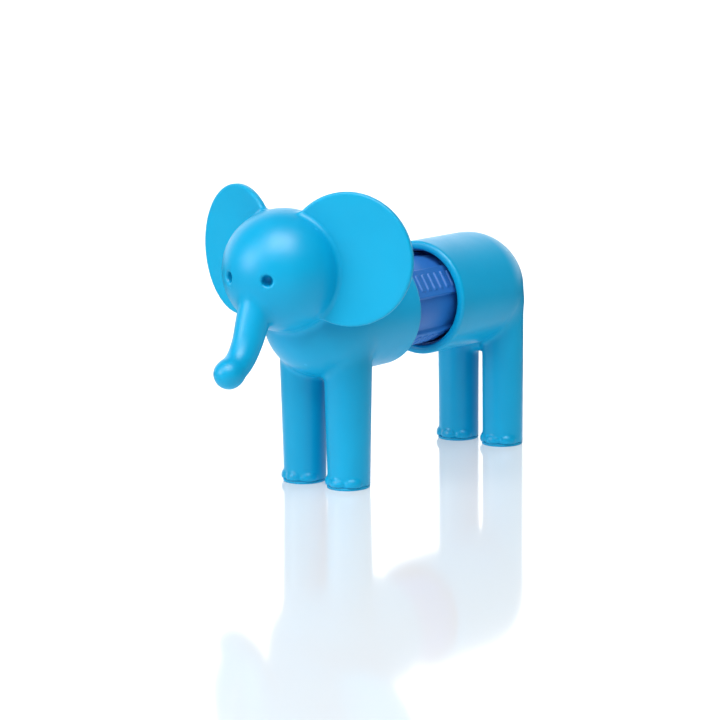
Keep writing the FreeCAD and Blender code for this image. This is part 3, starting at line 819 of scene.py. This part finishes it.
FINISHES = {
    socket_painted_shade_blue: ["front_socket_cup", "rear_socket_cup", "front_plate_cover", "rear_plate_cover"],
    bar_violet: ["front_end_cap", "rear_end_cap"],
    nylon: ["magnet_carrier"],
    steel: ["steel_core", "front_steel_plate", "rear_steel_plate"],
    nickel: ["front_magnet", "rear_magnet"],
}
for material, nodes in FINISHES.items():
    for node in nodes:
        dress(frame["nodes"][node], material)
for piece in (front_skin, rear_skin):
    dress(piece, body_blue)
for piece in ears:
    dress(piece, ear_painted_light_blue)
for piece in soles:
    dress(piece, sole_blue)
dress(sleeve_skin, bar_violet)
skins = [front_skin, rear_skin, *ears, *soles, sleeve_skin]
print("dressed", sum(map(len, FINISHES.values())), "CAD pieces and", len(skins), "skins")

# %% [markdown]
# ## The camera
# A long lens from well back, a little above the toy and to its front left, keeps the far legs
# nearly as large as the near ones. The camera's three axes come from two angles and a slight
# roll, and the light below is placed along the same axes.

# %% Camera
AZIMUTH, ELEVATION, ROLL = math.radians(37.64), math.radians(9.77), math.radians(-0.49)
DISTANCE, LENS, SHIFT = 0.7866, 135.2, -0.0055
target = Vector((0, BAR[1] - 15.8, 33.45)) * MM

level = math.cos(ELEVATION)
back = Vector((math.sin(AZIMUTH) * level, -math.cos(AZIMUTH) * level, math.sin(ELEVATION)))
right = Vector((math.cos(AZIMUTH), math.sin(AZIMUTH), 0))
up = back.cross(right)
right, up = (math.cos(ROLL) * right + math.sin(ROLL) * up, math.cos(ROLL) * up - math.sin(ROLL) * right)

camera_data = bpy.data.cameras.new("camera")
camera_data.lens = LENS
camera_data.shift_x = SHIFT
camera_data.clip_start = 0.01
camera = bpy.data.objects.new("camera", camera_data)
bpy.context.scene.collection.objects.link(camera)
axes = Matrix((right, up, back)).transposed().to_4x4()
camera.matrix_world = Matrix.Translation(target + DISTANCE * back) @ axes
bpy.context.scene.camera = camera
print("camera at", [round(c, 3) for c in camera.location])

# %% [markdown]
# ## Light and floor
# The toy stands in a bright studio. The wall behind it is white and the side that the camera is
# on is dimmer, so silhouettes get a pale rim while the flanks keep their full colour. The world
# shader does this by direction, as a picture of a studio could, and looks plain white where the
# camera sees it directly.
# A row of three soft boxes shapes the toy. The first, above the camera, is the broad sheen on the forehead.
# The last, low on the left, is the streak down the trunk, and the middle one joins the two. Each
# has a twin in the same place that only reflections see, so that the sheen can be set without
# washing out the colour.

# %% Soft boxes
STUDIO = 2.5


def softbox(name, way, size, power):
    """A rectangular area light at a place given along the camera's right, up and back axes."""
    data = bpy.data.lights.new(name, "AREA")
    data.shape = "RECTANGLE"
    data.size, data.size_y = size
    data.energy = power
    lamp = bpy.data.objects.new(name, data)
    bpy.context.scene.collection.objects.link(lamp)
    out = (way[0] * right + way[1] * up + way[2] * back).normalized()
    lamp.location = target + STUDIO * out
    lamp.rotation_euler = out.to_track_quat("Z", "Y").to_euler()
    return lamp


ABOVE, LEFT = Vector((-0.04, 0.77, 0.63)), Vector((-0.88, 0.26, 0.40))
SHEEN = 1.7
for name, share, size, power in (
    ("upper_softbox", 0.0, (1.8, 1.6), 58),
    ("middle_softbox", 0.5, (1.2, 1.2), 14),
    ("left_softbox", 1.0, (1.2, 1.2), 21),
):
    softbox(name, ABOVE.slerp(LEFT, share), size, power)
    softbox(name + "_sheen", ABOVE.slerp(LEFT, share), size, SHEEN * power).visible_diffuse = False
    print(name, "at", round(share, 1), "of the row,", power, "W")

# %% The bright wall behind and the dim side in front
DARK, BRIGHT = 0.16, 1.9
TURN_DARK, TURN_BRIGHT = 0.46, 0.66
world = bpy.data.worlds.new("white_studio")
world.use_nodes = True
bpy.context.scene.world = world
sky = world.node_tree
way = place(sky, "ShaderNodeTexCoord").outputs["Generated"]
behind = place(sky, "ShaderNodeVectorMath", {0: way, 1: -back}, operation="DOT_PRODUCT").outputs["Value"]
bright = spread(sky, behind, TURN_DARK, TURN_BRIGHT, DARK, BRIGHT)
seen = place(sky, "ShaderNodeLightPath").outputs["Is Camera Ray"]
sky.links.new(sums(sky, "MAXIMUM", bright, seen), sky.nodes["Background"].inputs["Strength"])
sky.nodes["Background"].inputs["Color"].default_value = (1, 1, 1, 1)
bpy.context.scene.view_settings.view_transform = "Standard"
print("world strength from", DARK, "to", BRIGHT)

# %% [markdown]
# The floor is a light table: a glossy board that glows from below. It softens the shadows away
# and leaves only pale reflections under the feet, where a plain white plane would show the toy's
# shadow. A real table is small and the room beyond it is dark, which is why the toy's belly
# mirrors a bright patch with soft dark ends. The Light Path node tells a ray's kind: for a ray
# that left the toy as a reflection, the table fades out with distance, and the camera sees the
# glow a little weaker, so that the reflections stay clear.

# %% Floor
FLOOR_HALF = 6.0
floor_data = bpy.data.meshes.new("floor")
floor_corners = [(x * FLOOR_HALF, y * FLOOR_HALF, 0) for x, y in ((-1, -1), (1, -1), (1, 1), (-1, 1))]
floor_data.from_pydata(floor_corners, [], [(0, 1, 2, 3)])
floor = bpy.data.objects.new("floor", floor_data)
bpy.context.scene.collection.objects.link(floor)
print("floor", 2 * FLOOR_HALF, "m across")

# %% The light table's material
board, board_tree, board_shader = new_material("light_table")
GLOW, GLOW_SEEN, TABLE_START, TABLE_END = 0.58, 0.30, 0.03, 0.28
set_constants(board_shader, {
    "Base_Color": (0.5, 0.5, 0.5, 1),
    "Roughness": 0.08,
    "Specular_IOR_Level": 0.65,
    "Emission_Color": (1, 1, 1, 1),
})
ray = place(board_tree, "ShaderNodeLightPath").outputs
glow = sums(board_tree, "MULTIPLY_ADD", ray["Is Camera Ray"], GLOW_SEEN - GLOW, GLOW)
board_tree.links.new(glow, board_shader.inputs["Emission Strength"])
spot = place(board_tree, "ShaderNodeTexCoord").outputs["Object"]
away = place(board_tree, "ShaderNodeVectorMath", {0: spot}, operation="LENGTH").outputs["Value"]
dark = sums(board_tree, "MULTIPLY", ray["Is Glossy Ray"], spread(board_tree, away, TABLE_START, TABLE_END))
night = place(board_tree, "ShaderNodeBsdfDiffuse", {"Color": (0, 0, 0, 1)})
faded = place(board_tree, "ShaderNodeMixShader", {0: dark, 1: board_shader.outputs[0], 2: night.outputs[0]})
board_tree.links.new(faded.outputs[0], board_tree.nodes["Material Output"].inputs["Surface"])
dress(floor, board)
print("material", board.name)
